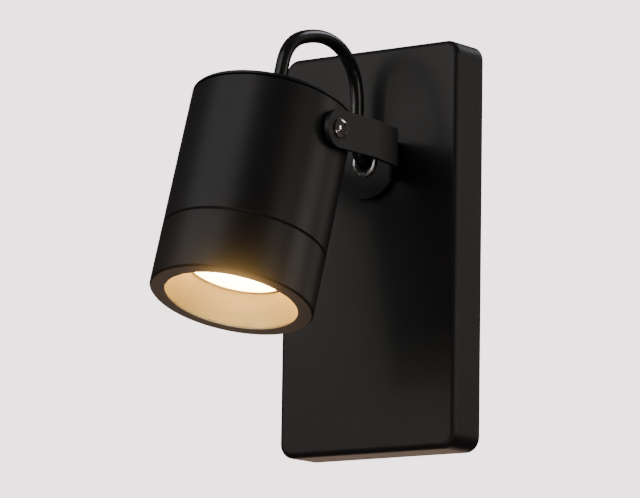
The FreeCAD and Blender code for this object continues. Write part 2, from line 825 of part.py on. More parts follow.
def reflector():
    """Gold cone from the bezel's lip to the lamp's face, with a flange behind the bezel's face."""
    wall = s.reflector_wall
    wide = s.bezel_opening_radius
    narrow = s.lamp_radius + s.reflector_play
    lip = s.bezel_lip - s.head_front
    flange_foot = wide + s.bezel_face - s.bezel_lip - s.lip_play
    flange = bezel_face_back + wall
    back = lamp_face + s.reflector_overlap
    return turned("reflector", [
        (wide, lip + s.lip_play), (flange_foot, bezel_face_back),
        (s.reflector_flange_radius, bezel_face_back), (s.reflector_flange_radius, flange),
        (wide + wall, flange), (narrow + wall, lamp_face),
        (narrow + wall, back), (narrow, back), (narrow, lamp_face)], on_head())


def lamp():
    """Spot lamp with a two-pin base, its lens and its pins."""
    place = on_head()
    radius = s.lamp_radius
    seat = radius - s.lamp_rim
    shoulder = lamp_face + s.lamp_rim_height
    neck = lamp_back - s.lamp_base_length
    base = s.lamp_base_radius
    lens_front = lamp_face + s.lens_recess
    lens_back = lens_front + s.lens_thickness
    wall = s.lamp_wall
    turned("lamp_body", [
        (seat, lamp_face), (radius, lamp_face), (radius, shoulder), (base + wall, neck),
        (base, neck + wall), (base, lamp_back), (0.0, lamp_back), (0.0, lamp_back - wall),
        (base - wall, lamp_back - wall), (base - wall, neck), (seat - wall, shoulder),
        (seat - wall, lens_back), (seat, lens_back)], place)
    turned("lamp_lens", [(0.0, lens_front), (seat, lens_front), (seat, lens_back), (0.0, lens_back)], place)
    pin = lathe([(0, 0), (s.lamp_pin_radius, 0),
                 (s.lamp_pin_radius, s.lamp_pin_length - s.lamp_pin_foot),
                 (s.lamp_pin_foot_radius, s.lamp_pin_length - s.lamp_pin_foot),
                 (s.lamp_pin_foot_radius, s.lamp_pin_length), (0, s.lamp_pin_length)])
    sides = (-0.5, 0.5)
    group("lamp_pins", [moved(pin, s.lamp_pin_spacing * side, 0.0, lamp_back) for side in sides], place)


def lamp_holder():
    """Ceramic holder with two sockets for the pins and two screw holes at its back."""
    body = turned("lamp_holder", [
        (0.0, holder_front), (s.holder_radius - s.edge_break, holder_front),
        (s.holder_radius, holder_front + s.edge_break), (s.holder_radius, holder_back),
        (0.0, holder_back)], on_head())
    sockets = new_sketch(body, "XY_Plane", holder_front)
    for side in (-0.5, 0.5):
        hole = s.lamp_pin_foot_radius + s.lamp_pin_play
        add_circle(sockets, s.lamp_pin_spacing * side, 0.0, hole)
    pocket(body, sockets, s.lamp_pin_length + s.lamp_pin_play, Reversed=True)
    screws = new_sketch(body, "XY_Plane", holder_back)
    for side in (-0.5, 0.5):
        hole = s.holder_screw_radius + s.thread_play
        add_circle(screws, 0.0, s.holder_screw_spacing * side, hole)
    pocket(body, screws, s.holder_screw_length)
    return body


def holder_screws():
    """Two screws from behind the strap into the holder."""
    shank = s.holder_screw_length - s.holder_screw_end_play
    radius, wide, high = s.holder_screw_radius, s.holder_screw_head_radius, s.holder_screw_head
    edge = s.screw_head_edge
    screw = lathe([(0, -shank), (radius, -shank), (radius, 0), (wide, 0), (wide, high - edge),
                   (wide - edge, high), (0, high)])
    shapes = [moved(screw, 0.0, s.holder_screw_spacing * side, web_back) for side in (-0.5, 0.5)]
    return group("holder_screws", shapes, on_head())


def ear_outside():
    """Distance of the strap's ears from the middle, where their edges meet the round wall."""
    inner = s.head_radius.value - s.head_wall.value
    half = s.strap_width.value / 2
    reach = math.sqrt(inner ** 2 - half ** 2) - s.spigot_play.value
    return Cell(reach, f"(sqrt((sizes.head_radius - sizes.head_wall) ^ 2 - (sizes.strap_width / 2) ^ 2)"
                       " - sizes.spigot_play)")


def lamp_strap():
    """Bent steel strap across the head: the pivots hold its ears, its web holds the lamp holder."""
    body = new_body("lamp_strap")
    wide = ear_outside()
    thick = s.strap_thickness
    top = holder_back + s.strap_ear
    sketch = new_sketch(body, "XZ_Plane")
    add_outline(sketch, [
        (-wide, holder_back), (wide, holder_back), (wide, top), (wide - thick, top),
        (wide - thick, web_back), (thick - wide, web_back), (thick - wide, top), (-wide, top)])
    pad(body, sketch, s.strap_width, Midplane=True)
    web = new_sketch(body, "XY_Plane", web_back)
    add_circle(web, 0.0, 0.0, s.strap_hole_radius)
    for side in (-0.5, 0.5):
        hole = s.holder_screw_radius + s.screw_play
        add_circle(web, 0.0, s.holder_screw_spacing * side, hole)
    pocket(body, web, thick * 2)
    pivots = new_sketch(body, "YZ_Plane")
    add_circle(pivots, 0.0, 0.0, s.pivot_hole_radius)
    pocket(body, pivots, Midplane=True)
    return piece(body, "lamp_strap", on_head())


# --- cable, boot and wires ----------------------------------------------------------------

def head_point(x, y, z):
    return on_head().multVec(V(number(x), number(y), number(z)))


def cable_boot():
    """Moulded rubber cone that holds the cable where it leaves the cap."""
    top = s.head_back + s.boot_height
    collar = s.head_back + s.boot_collar_height
    tail = s.head_back - s.cap_plate - s.boot_tail
    return turned("cable_boot", [
        (0.0, tail), (s.boot_radius, tail), (s.boot_radius, s.head_back),
        (s.boot_collar_radius, s.head_back), (s.boot_collar_radius, collar),
        (s.boot_radius, collar), (s.boot_tip_radius, top), (0.0, top)], on_head())


def cable_route():
    """Middle line of the cable from the boot's tip to its end inside the hollow screw."""
    start = head_point(0.0, 0.0, s.head_back + s.boot_height)
    straight = head_point(0.0, 0.0, s.head_back + s.boot_height + s.cable_exit)
    axis_z = s.swivel_height.value
    end_y = -number(s.box_depth - s.cable_tail)
    elbow = s.cable_elbow.value
    entry = V(0, end_y - elbow, axis_z)
    slant = elbow * math.sin(math.pi / 4)
    rise = V(0, entry.y - slant, axis_z + slant)
    loop = [V(0, y, z) for y, z in CABLE_LOOP]
    return [start, straight] + loop + [rise, entry, V(0, end_y, axis_z)]


def cable():
    """Free loop of round black cable from the head over to the box."""
    solid, length, radii = tube_along(cable_route(), s.cable_diameter.value / 2)
    print("cable length", round(length, 1), "bend radii", [round(r, 1) for r in radii])
    item = doc.addObject("Part::Feature", "cable")
    item.Shape = solid
    return piece(item, "cable")


def wires():
    """Three insulated wires from the cable's end to the terminals and the earth screw."""
    start_y = cable_route()[-1].y
    axis_z = s.swivel_height.value
    port_y = number(-s.wall_plate_thickness - s.terminal_depth * 0.5)
    top = number(s.terminal_centre_height + s.terminal_height * 0.5)
    beside = number(s.supply_hole_radius + s.wire_clearance)
    outside = number(s.supply_hole_radius + s.wire_clearance + s.live_wire_aside)
    pitch = s.terminal_pitch.value
    # name: angle round the cable's end, sideways bow, depth of the long run, terminal
    ways = {"live_wire": (90, -outside, port_y + s.live_wire_back.value, -pitch),
            "neutral_wire": (210, -beside, port_y, 0.0),
            "earth_wire": (330, beside, port_y, pitch)}
    for name, (angle, bow, run_y, port) in ways.items():
        x = s.core_circle_radius.value * math.cos(math.radians(angle))
        z = axis_z + s.core_circle_radius.value * math.sin(math.radians(angle))
        points = [V(x, start_y, z), V(x, run_y, z), V(bow, run_y, axis_z - s.wire_drop.value),
                  V(bow, run_y, top + s.wire_turn.value), V(port, port_y, top + s.wire_lead.value),
                  V(port, port_y, top - s.wire_depth.value)]
        solid, length, radii = tube_along(points, s.core_radius.value)
        print(name, "length", round(length, 1), "bend radii", [round(r, 1) for r in radii])
        item = doc.addObject("Part::Feature", name)
        item.Shape = solid
        piece(item, name)


def holder_wires():
    """Two short wires from the lamp holder through the strap to the boot."""
    low = holder_back.value
    high = s.head_back.value - s.cap_plate.value - s.boot_tail.value
    spread, sway = s.holder_wire_spread.value, s.holder_wire_sway.value
    shapes = []
    for side in (-1, 1):
        x = side * spread
        points = [V(x, 0, low), V(x, 0, low + s.holder_wire_straight.value),
                  V(x, side * sway, low + s.holder_wire_middle.value),
                  V(x, 0, high - s.holder_wire_end.value), V(x, 0, high)]
        shapes.append(tube_along(points, s.core_radius.value)[0])
    return group("holder_wires", shapes, on_head())


# --- terminals ----------------------------------------------------------------------------

def terminal_block():
    """Three-way terminal block on the wall plate."""
    plate = s.wall_plate_thickness
    block = part_box("terminal_blank", s.terminal_width, s.terminal_depth, s.terminal_height,
                     s.terminal_width * -0.5, -plate - s.terminal_depth,
                     s.terminal_centre_height - s.terminal_height * 0.5)
    middle = -plate - s.terminal_depth * 0.5
    low = s.terminal_centre_height - s.terminal_height
    screw_foot = s.terminal_screw_length + s.terminal_screw_recess - plate - s.terminal_depth
    holes = []
    for step in (-1, 0, 1):
        x = s.terminal_pitch * step
        holes.append(part_hole("wire_bore", s.terminal_bore_radius, s.terminal_height * 2, Z_AXIS, 0,
                               x, middle, low))
        for side in (-1, 1):
            holes.append(part_hole("screw_bore", s.terminal_screw_radius + s.thread_play,
                                   s.terminal_depth, X_AXIS, 90, x, screw_foot,
                                   s.terminal_centre_height + s.terminal_screw_inset * side))
    for side in (-0.5, 0.5):
        holes.append(part_hole("fixing_bore", s.terminal_fixing_radius + s.thread_play,
                               s.terminal_depth * 3, X_AXIS, 90, s.terminal_pitch * side,
                               s.terminal_depth, s.terminal_centre_height))
    return piece(cut("terminal_cut", block, holes), "terminal_block")


def terminal_screws():
    """Six clamping screws in the block."""
    front = number(s.terminal_screw_recess - s.wall_plate_thickness - s.terminal_depth)
    radius, length = s.terminal_screw_radius, s.terminal_screw_length
    screw = lathe([(0, -length.value), (radius, -length.value), (radius, 0), (0, 0)])
    shapes = []
    for step in (-1, 0, 1):
        for side in (-1, 1):
            z = s.terminal_centre_height + s.terminal_screw_inset * side
            shapes.append(moved(screw, s.terminal_pitch * step, front, z, X_AXIS, 90))
    return group("terminal_screws", shapes)


def terminal_fixings():
    """Two screws that hold the block on the wall plate."""
    front = -s.wall_plate_thickness.value - s.terminal_depth.value
    radius, wide, high = s.terminal_fixing_radius, s.terminal_fixing_head_radius, s.terminal_fixing_head
    length = s.terminal_depth.value + s.wall_plate_thickness.value
    screw = lathe([(0, -length), (radius, -length), (radius, 0), (wide, 0), (wide, high), (0, high)])
    z = s.terminal_centre_height
    shapes = [moved(screw, s.terminal_pitch * side, front, z, X_AXIS, 90) for side in (-0.5, 0.5)]
    return group("terminal_fixings", shapes)


def earth_terminal():
    """Screw and ring tag that tie the wall plate to earth."""
    place = FreeCAD.Placement(V(s.earth_screw_x.value, 0, s.terminal_centre_height.value),
                              FreeCAD.Rotation(X_AXIS, 90))
    hole = s.earth_screw_radius + s.screw_play
    turned("earth_tag", tube_profile(hole, s.earth_tag_radius, s.wall_plate_thickness,
                                     s.wall_plate_thickness + s.earth_tag_thickness), place)
    seat = s.wall_plate_thickness + s.earth_tag_thickness
    radius, wide = s.earth_screw_radius, s.earth_screw_head_radius
    top, edge = seat + s.earth_screw_head, s.screw_head_edge
    turned("earth_screw", [
        (0.0, 0.0), (radius, 0.0), (radius, seat), (wide, seat),
        (wide, top - edge), (wide - edge, top), (0.0, top)], place)


# --- build, check and write ---------------------------------------------------------------

def build():
    box_cover()
    wall_plate()
    box_screws()
    swivel()
    yoke()
    pivot_screws()
    pivot_hardware()
    head_housing()
    rear_cap()
    front_bezel()
    seam_ring()
    reflector()
    lamp()
    lamp_holder()
    holder_screws()
    lamp_strap()
    cable_boot()
    cable()
    wires()
    holder_wires()
    terminal_block()
    terminal_screws()
    terminal_fixings()
    earth_terminal()


def check():
    """Stop if any feature failed or any sub-part is not a sound solid."""
    doc.recompute()
    for item in doc.Objects:
        if "Invalid" in item.State or "Error" in item.State:
            raise RuntimeError(f"{item.Name} failed: {item.State}")
    for item in pieces:
        if item.Shape.isNull() or not item.Shape.isValid() or not item.Shape.Solids:
            raise RuntimeError(f"{item.Label} is not a sound solid")


def write():
    os.makedirs("parts", exist_ok=True)
    for item in pieces:
        item.Shape.exportStep(f"parts/{item.Label}.step")
        print(item.Label, len(item.Shape.Solids), "solid(s)", round(item.Shape.Volume, 1), "mm3")


build()
check()
write()
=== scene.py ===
# %% [markdown]
# # A pivoting spotlight for the wall
#
# This notebook dresses a small black wall light: a flat box on the wall, a bent
# yoke that turns on it, and a round head that tilts between the yoke's arms.
# The construction is already settled, so it is loaded as a fixed frame. What is
# left to do here is the looks: the camera, the cable, the finishes and the light.

# %% Load the construction
import math

import bpy
from mathutils import Matrix, Vector


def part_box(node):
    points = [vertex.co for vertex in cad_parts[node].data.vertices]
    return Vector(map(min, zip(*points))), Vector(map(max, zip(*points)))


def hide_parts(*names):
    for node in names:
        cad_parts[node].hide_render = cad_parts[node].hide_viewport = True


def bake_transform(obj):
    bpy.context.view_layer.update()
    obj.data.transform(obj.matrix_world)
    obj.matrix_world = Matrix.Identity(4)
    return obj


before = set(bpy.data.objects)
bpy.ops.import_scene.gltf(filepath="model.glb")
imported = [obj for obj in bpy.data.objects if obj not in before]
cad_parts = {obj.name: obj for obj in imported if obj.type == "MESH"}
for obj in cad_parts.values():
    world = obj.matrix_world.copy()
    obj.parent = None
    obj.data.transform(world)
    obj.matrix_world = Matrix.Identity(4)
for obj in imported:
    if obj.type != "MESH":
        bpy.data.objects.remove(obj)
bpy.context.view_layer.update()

# %% [markdown]
# ## The camera
#
# The light was photographed with a long lens, from the right and a little below,
# so its edges stay almost parallel. The pose was found by matching the outlines
# of the box and of the head. A camera looks along its own -Z, so its three axes
# are worked out from the angles and written straight into its matrix.

# %% Place the camera
PHOTO_WIDTH = 640
FOCAL_PIXELS = 4373.1
SENSOR = 36.0
CAMERA_AZIMUTH = math.radians(36.559)
CAMERA_ELEVATION = math.radians(-9.029)
CAMERA_ROLL = math.radians(0.876)
CAMERA_DISTANCE = 2.1842
CAMERA_TARGET = Vector((-0.04497, 0.0, 0.00728))

back = Vector((math.sin(CAMERA_AZIMUTH) * math.cos(CAMERA_ELEVATION),
               -math.cos(CAMERA_AZIMUTH) * math.cos(CAMERA_ELEVATION),
               math.sin(CAMERA_ELEVATION)))
level_right = Vector((math.cos(CAMERA_AZIMUTH), math.sin(CAMERA_AZIMUTH), 0.0))
level_up = back.cross(level_right)
right = level_right * math.cos(CAMERA_ROLL) + level_up * math.sin(CAMERA_ROLL)
up = level_up * math.cos(CAMERA_ROLL) - level_right * math.sin(CAMERA_ROLL)

camera_data = bpy.data.cameras.new("camera")
camera_data.sensor_width = SENSOR
camera_data.lens = FOCAL_PIXELS / PHOTO_WIDTH * SENSOR
camera_data.clip_end = 20.0
camera = bpy.data.objects.new("camera", camera_data)
bpy.context.scene.collection.objects.link(camera)
turn = Matrix((right, up, back)).transposed().to_4x4()
camera.matrix_world = Matrix.Translation(CAMERA_TARGET + back * CAMERA_DISTANCE) @ turn
bpy.context.scene.camera = camera
print("camera lens:", round(camera_data.lens, 1), "mm")

# %% [markdown]
# ## The cable
#
# A round black flex leaves the middle of the rear cap, loops over and goes back
# into the box through the hollow screw that the yoke turns on. A stiff flex
# makes one smooth curve, so its middle line is a spline with a few given points.
# Blender can turn such a curve into a mesh line, whose vertices are then
# read off as places along the cable.

# %% Lay the cable's middle line
CABLE_RADIUS = 0.0033
CABLE_POINTS = [
    (0.0, -0.09681, 0.06794),
    (0.0, -0.09445, 0.07558),
    (0.0, -0.0910, 0.0873),
    (0.0, -0.0828, 0.0948),
    (0.0, -0.0708, 0.0985),
    (0.0, -0.0584, 0.0998),
    (0.0, -0.0472, 0.0972),
    (0.0, -0.0386, 0.0912),
    (0.0, -0.0338, 0.0836),
    (0.0, -0.0319, 0.0748),
    (0.0, -0.0318, 0.0645),
    (0.0, -0.0314, 0.0558),
    (0.0, -0.03081, 0.04741),
    (0.0, -0.0265, 0.0431),
    (0.0, -0.0204, 0.0431),
]
STEPS_PER_POINT = 12


def smooth_line(name, points):
    """Points read along a smooth spline whose control points are given."""
    curve = bpy.data.curves.new(name, "CURVE")
    curve.dimensions = "3D"
    curve.resolution_u = STEPS_PER_POINT
    spline = curve.splines.new("NURBS")
    spline.points.add(len(points) - 1)
    for control, place in zip(spline.points, points):
        control.co = (*place, 1.0)
    spline.order_u = 3
    spline.use_endpoint_u = True
    holder = bpy.data.objects.new(name, curve)
    line = bpy.data.meshes.new_from_object(holder)
    places = [vertex.co.copy() for vertex in line.vertices]
    bpy.data.objects.remove(holder)
    bpy.data.curves.remove(curve)
    bpy.data.meshes.remove(line)
    return places


cable_line = smooth_line("cable_line", CABLE_POINTS)
cable_length = sum((b - a).length for a, b in zip(cable_line, cable_line[1:]))
print("cable:", len(cable_line), "points,", round(cable_length * 1000, 1), "mm long")

# %% [markdown]
# A tube is a ring of vertices round each place on the line, with each ring joined
# to the next. A ring has to stay square to the line. This cable lies in the plane
# X = 0, so one direction across it is always +X and the other is the cross
# product of the line's direction with it. A mesh tube was chosen over a bevelled
# curve.

# %% Draw the tube
CABLE_SIDES = 28


def add_mesh(name, vertices, faces, smooth=True):
    """A new object from vertices and faces."""
    mesh = bpy.data.meshes.new(name)
    mesh.from_pydata([tuple(v) for v in vertices], [], faces)
    mesh.validate()
    mesh.update()
    for face in mesh.polygons:
        face.use_smooth = smooth
    made = bpy.data.objects.new(name, mesh)
    bpy.context.scene.collection.objects.link(made)
    return made


def tube_in_plane(name, line, radius, sides):
    """A closed round tube along a line in the plane X = 0."""
    side = Vector((1.0, 0.0, 0.0))
    vertices = []
    for i, place in enumerate(line):
        before = line[max(i - 1, 0)]
        after = line[min(i + 1, len(line) - 1)]
        across = (after - before).normalized().cross(side)
        for k in range(sides):
            angle = 2 * math.pi * k / sides
            vertices.append(place + (side * math.cos(angle) + across * math.sin(angle)) * radius)
    faces = []
    for i in range(len(line) - 1):
        low, high = i * sides, (i + 1) * sides
        for k in range(sides):
            nxt = (k + 1) % sides
            faces.append((low + k, high + k, high + nxt, low + nxt))
    faces.append(tuple(range(sides)))
    faces.append(tuple(range((len(line) - 1) * sides, len(line) * sides))[::-1])
    return add_mesh(name, vertices, faces)


cable_tube = tube_in_plane("cable_tube", cable_line, CABLE_RADIUS, CABLE_SIDES)
print("cable mesh:", len(cable_tube.data.polygons), "faces")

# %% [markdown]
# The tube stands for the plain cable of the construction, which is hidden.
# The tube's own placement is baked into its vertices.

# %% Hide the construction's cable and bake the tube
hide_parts("cable")
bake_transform(cable_tube)

# %% [markdown]
# ## A small language for shader graphs
#
# Shader graphs are easier to read as sums. `Value` wraps one socket, so that
# `noise * 0.2 + 0.3` adds the two Math nodes that it needs. The reflected forms,
# such as `__rsub__`, let a plain number stand first, as in `1 - noise`.

# %% Wrap a socket
class Value:
    """A number in a shader graph that can be used in a sum."""

    def __init__(self, graph, socket):
        self.graph = graph
        self.socket = socket

    def sum(self, operation, first, second):
        return self.graph.node("ShaderNodeMath", {"operation": operation}, {0: first, 1: second})

    def __add__(self, other):
        return self.sum("ADD", self, other)

    def __radd__(self, other):
        return self.sum("ADD", other, self)

    def __sub__(self, other):
        return self.sum("SUBTRACT", self, other)

    def __rsub__(self, other):
        return self.sum("SUBTRACT", other, self)

    def __mul__(self, other):
        return self.sum("MULTIPLY", self, other)

    def __rmul__(self, other):
        return self.sum("MULTIPLY", other, self)


# %% [markdown]
# `Graph` holds a node tree. Its `node` method makes any node from a type, its
# settings and the values or links of its sockets, so the same few words build
# the finishes, the sky and the glow. A ramp's stops are given as pairs of a place
# and a grey.

# %% Wrap a node tree
class Graph:
    """A node tree and one way to add a node to it."""

    def __init__(self, tree):
        self.tree = tree

    def node(self, kind, settings=None, inputs=None, output=0):
        """Add a node: settings first, then its sockets, and hand back one output."""
        made = self.tree.nodes.new(kind)
        for name, value in (settings or {}).items():
            if name == "stops":
                self.set_stops(made.color_ramp, value)
            else:
                setattr(made, name, value)
        for name, value in (inputs or {}).items():
            self.connect(made.inputs[name], value)
        return Value(self, made.outputs[output]) if made.outputs else None

    def set_stops(self, ramp, stops):
        while len(ramp.elements) < len(stops):
            ramp.elements.new(0.5)
        for element, (place, grey) in zip(ramp.elements, stops):
            element.position = place
            element.color = (grey, grey, grey, 1.0)

    def connect(self, socket, value):
        if isinstance(value, Value):
            self.tree.links.new(value.socket, socket)
        else:
            socket.default_value = value


# %% [markdown]
# `Finish` is the graph of one material. What is the same all over a surface is
# given by name when it is made and goes on the shader's own sockets. What varies
# is worked out from the piece's own coordinates, which stay with it when it
# moves, so no UV coordinates are needed.

# %% Wrap a material
class Finish(Graph):
    """One material, with its surface shader and short ways to feed it."""

    def __init__(self, name, **constants):
        self.material = bpy.data.materials.new(name)
        self.material.use_nodes = True
        super().__init__(self.material.node_tree)
        self.surface = self.tree.nodes["Principled BSDF"]
        self.feed(**constants)

    def feed(self, **values):
        for name, value in values.items():
            self.connect(self.surface.inputs[name.replace("_", " ")], value)

    def place(self):
        """The piece's own coordinates in metres."""
        return self.node("ShaderNodeTexCoord", output="Object")

    def noise(self, scale, detail=3.0, rough=0.55):
        inputs = {"Vector": self.place(), "Scale": scale, "Detail": detail, "Roughness": rough}
        return self.node("ShaderNodeTexNoise", None, inputs, output="Fac")

    def ramp(self, value, stops):
        return self.node("ShaderNodeValToRGB", {"stops": stops}, {"Fac": value})

    def blend(self, mask, first, second):
        """A colour between two colours; a Mix node has its colours on inputs 6 and 7, output 2."""
        inputs = {0: mask, 6: (*first, 1.0), 7: (*second, 1.0)}
        return self.node("ShaderNodeMix", {"data_type": "RGBA"}, inputs, output=2)

    def bump(self, height, distance, strength=0.5):
        inputs = {"Height": height, "Distance": distance, "Strength": strength}
        self.feed(Normal=self.node("ShaderNodeBump", None, inputs, output="Normal"))

    def dress(self, *names):
        """Give the finish to construction nodes or to new pieces."""
        for name in names:
            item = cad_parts.get(name) or bpy.data.objects[name]
            item.data.materials.clear()
            item.data.materials.append(self.material)
        print(self.material.name, "on", ", ".join(names))


# %% [markdown]
# ## Black powder coat
#
# Box, yoke and head share one finish: black powder coat, baked on. Close up it
# has a very fine orange peel that softens reflections, patches that are a touch
# more or less glossy, and a few specks of dust that read as paler points. The
# colour hardly changes at all, so nearly everything is done with roughness and a
# very shallow bump whose waves are just under a millimetre across.

# %% Make the powder coat
MM = 0.001
BLACK = (0.0125, 0.0125, 0.0130)
PEEL_SCALE = 1.0 / (0.9 * MM)
PATCH_SCALE = 1.0 / (45 * MM)
DUST_SCALE = 1.0 / (2.2 * MM)


def powder_coat(name, roughness):
    finish = Finish(name)
    peel = finish.noise(PEEL_SCALE, detail=2.0)
    patches = finish.noise(PATCH_SCALE, detail=4.0)
    dust = finish.ramp(finish.noise(DUST_SCALE, detail=1.0), [(0.74, 0.0), (0.80, 1.0)])
    dusty_black = tuple(channel * 1.9 + 0.006 for channel in BLACK)
    finish.feed(Base_Color=finish.blend(dust * 0.35, BLACK, dusty_black),
                Roughness=patches * 0.10 + dust * 0.15 + (roughness - 0.05))
    finish.bump(peel, 0.04 * MM)
    return finish


powder_coat("black_powder_coat", 0.40).dress("head_housing", "rear_cap", "front_bezel")
powder_coat("black_powder_coat_box", 0.46).dress("box_cover")
powder_coat("black_powder_coat_steel", 0.42).dress("yoke")

# %% [markdown]
# ## Bright metal
#
# The ring nut and the pivot screws are plated and polished. Plating is never a
# perfect mirror: it follows the faint turning marks of the part under it and it
# carries hairline scratches. Both are put into the roughness, where they show as
# slightly softer streaks in the reflection.

# %% Make the bright plating
def bright_plate():
    finish = Finish("bright_plate", Base_Color=(0.80, 0.78, 0.75, 1.0), Metallic=1.0)
    smear = finish.noise(1.0 / (3 * MM), detail=5.0)
    scratch = finish.ramp(finish.noise(1.0 / (0.35 * MM), detail=1.0), [(0.62, 0.0), (0.70, 1.0)])
    finish.feed(Roughness=smear * 0.10 + scratch * 0.12 + 0.04)
    finish.bump(smear, 0.03 * MM, strength=0.35)
    return finish


bright_plate().dress("ring_nut", "pivot_screws")

# %% [markdown]
# ## Zinc, brass and black oxide
#
# Wall plate, strap, washers and hidden screws are zinc plated: a soft grey metal
# with the cloudy spangle that zinc leaves, slightly blue. The lock nut, the
# terminals and the lamp's pins are plain brass with warm, darker handling marks.
# The two screws in the box's edges are blackened steel. All three are a cloud of
# two shades with a finer grain in the bump.

# %% Make zinc, brass and blackened steel
def clouded_metal(name, pale, dark, grain, roughness):
    finish = Finish(name, Metallic=1.0)
    cloud = finish.noise(grain, detail=5.0, rough=0.65)
    fine = finish.noise(grain * 9, detail=2.0)
    shade = finish.ramp(cloud, [(0.35, 0.0), (0.68, 1.0)])
    finish.feed(Base_Color=finish.blend(shade, dark, pale),
                Roughness=cloud * 0.22 + fine * 0.10 + roughness)
    finish.bump(fine, 0.03 * MM, strength=0.4)
    return finish


clouded_metal("zinc_plate", (0.62, 0.63, 0.64), (0.40, 0.41, 0.43), 1.0 / (7 * MM), 0.22).dress(
    "wall_plate", "hollow_screw", "flat_washer", "spring_washer", "pivot_nuts", "holder_screws",
    "lamp_strap", "terminal_fixings")
clouded_metal("turned_brass", (0.78, 0.58, 0.27), (0.48, 0.31, 0.12), 1.0 / (4 * MM), 0.16).dress(
    "lock_nut", "lamp_pins", "terminal_screws", "earth_tag", "earth_screw")
clouded_metal("black_oxide", (0.055, 0.055, 0.060), (0.020, 0.020, 0.022), 1.0 / (2 * MM), 0.30).dress(
    "box_screws")

# %% [markdown]
# ## The gold reflector
#
# The cone round the lamp is champagne-coloured anodised aluminium, spun to shape.
# Spinning leaves rings round the axis. The head is tilted, so the rings need
# coordinates along the head: the distance along its axis is a dot product with
# the axis, and noise that is read at that distance alone draws perfect rings. The
# same distance paints light and shade into the colour: painted light makes the
# metal paler towards the rim, where the lamp lights it fully, and painted shade
# makes it browner near the lens.

# %% Make the reflector
HEAD_TILT = math.radians(17.2)
HEAD_AXIS = (0.0, -math.sin(HEAD_TILT), -math.cos(HEAD_TILT))
LENS_CENTRE = Vector([sum(pair) / 2 for pair in zip(*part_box("lamp_lens"))])
LENS_ALONG = LENS_CENTRE.dot(Vector(HEAD_AXIS))
REFLECTOR_DEPTH = 16 * MM
# Painted shade: the browner gold near the lens. Painted light: the paler gold at the rim.
SHADED_GOLD_AT_LENS = (0.55, 0.385, 0.18)
LIT_GOLD_AT_RIM = (1.0, 0.81, 0.41)


def spun_gold():
    finish = Finish("spun_gold", Metallic=1.0)
    along = finish.node("ShaderNodeVectorMath", {"operation": "DOT_PRODUCT"},
                        {0: finish.place(), 1: HEAD_AXIS}, output="Value")
    rings = finish.node("ShaderNodeTexNoise", {"noise_dimensions": "1D"},
                        {"W": along, "Scale": 1.0 / (0.5 * MM), "Detail": 3.0}, output="Fac")
    cloud = finish.noise(1.0 / (12 * MM), detail=3.0)
    depth = (along - LENS_ALONG) * (1.0 / REFLECTOR_DEPTH)
    # Mask for painted light towards the rim and painted shade near the lens, broken up a little by the
    # cloud.
    painted_rim_light = finish.ramp(depth + cloud * 0.15, [(0.15, 0.0), (0.95, 1.0)])
    finish.feed(Base_Color=finish.blend(painted_rim_light, SHADED_GOLD_AT_LENS, LIT_GOLD_AT_RIM),
                Roughness=rings * 0.14 + cloud * 0.08 + 0.34)
    finish.bump(rings, 0.04 * MM)
    return finish


spun_gold().dress("reflector")

# %% [markdown]
# ## The lit lens
#
# The lamp is on. Its frosted lens glows nearly white in the middle and warms
# towards its edge, where less light is scattered out. The distance from the
# lens's middle gives that fall-off. The lens also lights the reflector, so its
# strength decides how bright the whole mouth of the head looks.

# %% Light the lens
LENS_RADIUS = 24 * MM
LENS_STRENGTH = 28.0


def lit_lens():
    finish = Finish("lit_lens", Roughness=0.35, Emission_Strength=LENS_STRENGTH)
    reach = finish.node("ShaderNodeVectorMath", {"operation": "DISTANCE"},
                        {0: finish.place(), 1: tuple(LENS_CENTRE)}, output="Value")
    frost = finish.noise(1.0 / (1.2 * MM), detail=3.0)
    edge = finish.ramp(reach * (1.0 / LENS_RADIUS) + frost * 0.05, [(0.55, 0.0), (1.04, 1.0)])
    finish.feed(Base_Color=finish.blend(edge, (0.95, 0.92, 0.85), (0.85, 0.70, 0.50)),
                Emission_Color=finish.blend(edge, (1.0, 0.78, 0.42), (1.0, 0.60, 0.20)))
    finish.bump(frost, 0.05 * MM, strength=0.4)
    return finish


lit_lens().dress("lamp_lens")

# %% [markdown]
# ## Rubber, nylon and cable
#
# Three kinds of soft black sit side by side, and they have to read differently:
# the cable's sheath is smooth and shiny, the bush, the boot and the seal are dull
# rubber, and the washers are satin nylon. Extruded sheath carries smudges and a
# faint unevenness, so its gloss is broken up a little.

# %% Make the black soft materials
def soft_black(name, colour, roughness, grain, height, coat=0.0):
    finish = Finish(name, Coat_Roughness=0.12)
    fine = finish.noise(grain, detail=3.0)
    smudge = finish.noise(1.0 / (9 * MM), detail=4.0)
    smudged = tuple(channel * 1.6 + 0.004 for channel in colour)
    finish.feed(Base_Color=finish.blend(smudge, colour, smudged),
                Roughness=smudge * 0.16 + fine * 0.06 + (roughness - 0.11),
                Coat_Weight=smudge * 0.1 + coat)
    finish.bump(fine, height)
    return finish


SHEATH_BLACK = (0.010, 0.010, 0.010)
RUBBER_BLACK = (0.014, 0.014, 0.014)
NYLON_BLACK = (0.016, 0.016, 0.017)
soft_black("cable_sheath", SHEATH_BLACK, 0.29, 1.0 / (3.5 * MM), 0.02 * MM, coat=0.3).dress(
    "cable_tube")
soft_black("dull_rubber", RUBBER_BLACK, 0.72, 1.0 / (0.5 * MM), 0.06 * MM).dress(
    "cable_bush", "cable_boot", "seam_ring")
soft_black("black_nylon", NYLON_BLACK, 0.48, 1.0 / (0.7 * MM), 0.04 * MM).dress(
    "swivel_washer", "pivot_washers")

# %% [markdown]
# ## Inner pieces
#
# Lamp shell, lamp holder, terminal block and wires are hidden when the light
# hangs on the wall, but the wall plate can be taken off, so they are finished
# too: moulded plastic with a fine grain, chalky ceramic, and coloured insulation.

# %% Make plastics and ceramic
FINE_GRAIN = 1.0 / (0.6 * MM)
CERAMIC_GRAIN = 1.0 / (0.9 * MM)


